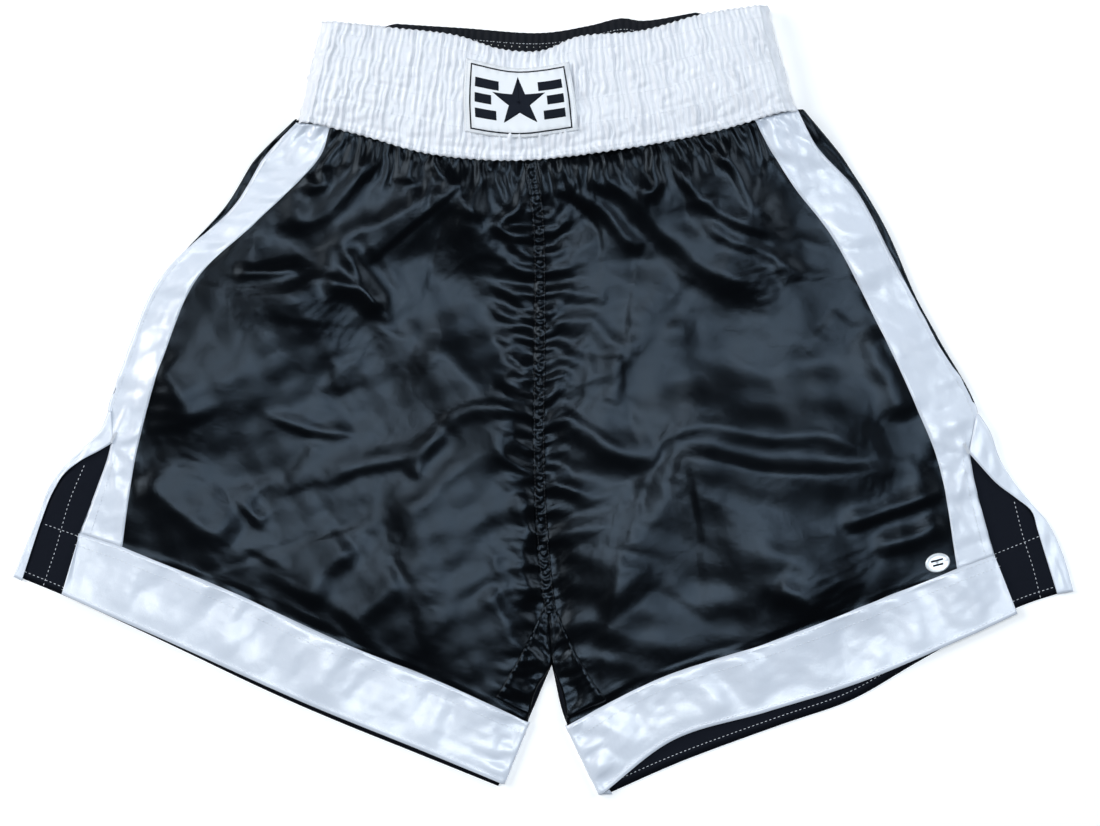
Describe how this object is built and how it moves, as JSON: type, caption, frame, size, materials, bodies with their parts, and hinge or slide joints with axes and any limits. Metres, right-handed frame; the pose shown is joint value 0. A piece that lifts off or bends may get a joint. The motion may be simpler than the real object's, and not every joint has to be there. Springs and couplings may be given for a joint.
{
  "type": "boxing shorts",
  "caption": "Wide satin boxing trunks with a deep shirred elastic waistband, side stripes, split side vents and contrast hem bands, lying flat on their back.",
  "frame": {"origin": "middle of the shorts' footprint, on the ground under their back", "axes": "+X to the wearer's left, +Y up to the waist, +Z from the ground out of the front"},
  "size_m": [0.87, 0.644, 0.027],
  "materials": {
    "black_satin": "glossy woven satin",
    "white_satin": "glossy woven satin",
    "waistband_satin": "glossy satin shirred over elastic",
    "black_facing": "matte lining",
    "elastic": "ribbed woven elastic",
    "woven_label": "fine woven label",
    "badge_foil": "brushed silver print",
    "white_thread": "spun polyester",
    "black_thread": "spun polyester"
  },
  "bodies": {
    "hips": {"waistband_shell": "waistband_satin", "waistband_elastic": "elastic", "waistband_facing": "black_facing", "waistband_stitching": "white_thread", "front_label": "woven_label", "label_stitching": "white_thread", "front_left_panel_hip": "black_satin", "front_right_panel_hip": "black_satin", "back_left_panel_hip": "black_satin", "back_right_panel_hip": "black_satin", "front_rise_seam": "black_satin", "back_rise_seam": "black_satin", "rise_stitching": "black_thread", "left_side_stripe": "white_satin", "right_side_stripe": "white_satin", "left_side_seam": "black_satin", "right_side_seam": "black_satin", "left_stripe_stitching": "white_thread", "right_stripe_stitching": "white_thread", "crotch_gusset": "black_satin", "left_vent_bartack": "white_thread", "right_vent_bartack": "white_thread"},
    "left_leg": {"front_left_panel_thigh": "black_satin", "back_left_panel_thigh": "black_satin", "front_left_vent_facing": "white_satin", "back_left_vent_facing": "white_satin", "front_left_hem_band": "white_satin", "back_left_hem_band": "white_satin", "left_inseam": "black_satin", "left_hem_stitching": "white_thread", "oval_badge": "badge_foil"},
    "right_leg": {"front_right_panel_thigh": "black_satin", "back_right_panel_thigh": "black_satin", "front_right_vent_facing": "white_satin", "back_right_vent_facing": "white_satin", "front_right_hem_band": "white_satin", "back_right_hem_band": "white_satin", "right_inseam": "black_satin", "right_hem_stitching": "white_thread"}
  },
  "joints": [
    {"name": "left_leg_lift", "type": "hinge", "parent": "hips", "child": "left_leg", "pos_m": [0.006, -0.214, 0.0115], "axis": [-0.8851, -0.4653, 0], "range_deg": [0, 75]},
    {"name": "right_leg_lift", "type": "hinge", "parent": "hips", "child": "right_leg", "pos_m": [-0.006, -0.214, 0.0115], "axis": [-0.8851, 0.4653, 0], "range_deg": [0, 75]}
  ]
}
